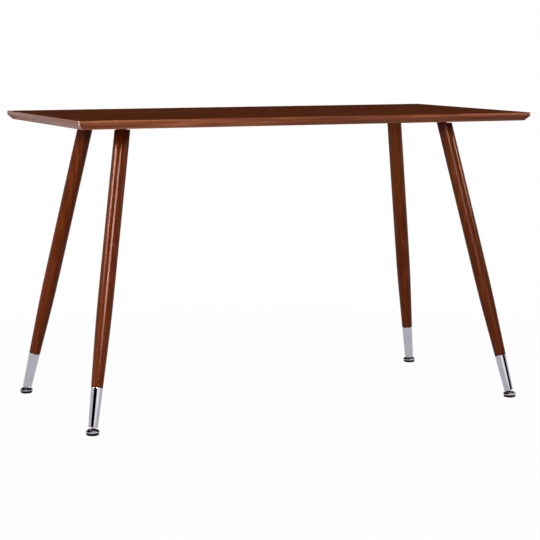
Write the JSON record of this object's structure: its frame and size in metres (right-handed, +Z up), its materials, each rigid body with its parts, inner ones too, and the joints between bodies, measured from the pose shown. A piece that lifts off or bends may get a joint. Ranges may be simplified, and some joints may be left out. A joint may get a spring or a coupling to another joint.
{
  "type": "dining table",
  "caption": "Rectangular dining table: thin wood-finish top with an undercut edge on splayed, tapered round steel legs with chrome ferrules and swivelling levelling feet.",
  "frame": {"origin": "on the floor below the middle of the top", "axes": "+X along the table's length, +Y across its width towards the back, +Z up"},
  "size_m": [1.2, 0.6, 0.738],
  "materials": {
    "wood_finish_panel": "dark reddish-brown wood-grain finish, satin",
    "wood_finish_leg": "dark reddish-brown wood-grain print under clear lacquer, glossy",
    "rail_paint": "black powder coat",
    "chrome": "polished chrome",
    "black_plastic": "fine matt moulding",
    "nylon": "plain moulding",
    "zinc_steel": "zinc plated",
    "insert_brass": "plain"
  },
  "bodies": {
    "table": {"table_top": "wood_finish_panel", "cross_rail_left": "rail_paint", "cross_rail_right": "rail_paint", "threaded_inserts": "insert_brass", "rail_washers": "zinc_steel", "rail_screws": "zinc_steel", "leg_tube_front_left": "wood_finish_leg", "leg_top_plate_front_left": "rail_paint", "ferrule_front_left": "chrome", "foot_bush_front_left": "nylon", "rail_end_cap_front_left": "black_plastic", "leg_tube_front_right": "wood_finish_leg", "leg_top_plate_front_right": "rail_paint", "ferrule_front_right": "chrome", "foot_bush_front_right": "nylon", "rail_end_cap_front_right": "black_plastic", "leg_tube_back_left": "wood_finish_leg", "leg_top_plate_back_left": "rail_paint", "ferrule_back_left": "chrome", "foot_bush_back_left": "nylon", "rail_end_cap_back_left": "black_plastic", "leg_tube_back_right": "wood_finish_leg", "leg_top_plate_back_right": "rail_paint", "ferrule_back_right": "chrome", "foot_bush_back_right": "nylon", "rail_end_cap_back_right": "black_plastic"},
    "stud_front_left": {"levelling_stud_front_left": "chrome"},
    "foot_front_left": {"foot_cap_front_left": "chrome", "foot_pad_front_left": "black_plastic"},
    "stud_front_right": {"levelling_stud_front_right": "chrome"},
    "foot_front_right": {"foot_cap_front_right": "chrome", "foot_pad_front_right": "black_plastic"},
    "stud_back_left": {"levelling_stud_back_left": "chrome"},
    "foot_back_left": {"foot_cap_back_left": "chrome", "foot_pad_back_left": "black_plastic"},
    "stud_back_right": {"levelling_stud_back_right": "chrome"},
    "foot_back_right": {"foot_cap_back_right": "chrome", "foot_pad_back_right": "black_plastic"}
  },
  "joints": [
    {"name": "level_front_left", "type": "slide", "parent": "table", "child": "stud_front_left", "axis": [-0.1771, -0.188, -0.9661], "range_m": [0, 0.012]},
    {"name": "swivel_front_left", "type": "hinge", "parent": "stud_front_left", "child": "foot_front_left", "pos_m": [-0.568, -0.276, 0.0078], "axis": [0.7279, -0.6857, 0], "range_deg": [-34, 5]},
    {"name": "level_front_right", "type": "slide", "parent": "table", "child": "stud_front_right", "axis": [0.1771, -0.188, -0.9661], "range_m": [0, 0.012]},
    {"name": "swivel_front_right", "type": "hinge", "parent": "stud_front_right", "child": "foot_front_right", "pos_m": [0.568, -0.276, 0.0078], "axis": [0.7279, 0.6857, 0], "range_deg": [-34, 5]},
    {"name": "level_back_left", "type": "slide", "parent": "table", "child": "stud_back_left", "axis": [-0.1771, 0.188, -0.9661], "range_m": [0, 0.012]},
    {"name": "swivel_back_left", "type": "hinge", "parent": "stud_back_left", "child": "foot_back_left", "pos_m": [-0.568, 0.276, 0.0078], "axis": [-0.7279, -0.6857, 0], "range_deg": [-34, 5]},
    {"name": "level_back_right", "type": "slide", "parent": "table", "child": "stud_back_right", "axis": [0.1771, 0.188, -0.9661], "range_m": [0, 0.012]},
    {"name": "swivel_back_right", "type": "hinge", "parent": "stud_back_right", "child": "foot_back_right", "pos_m": [0.568, 0.276, 0.0078], "axis": [-0.7279, 0.6857, 0], "range_deg": [-34, 5]}
  ]
}
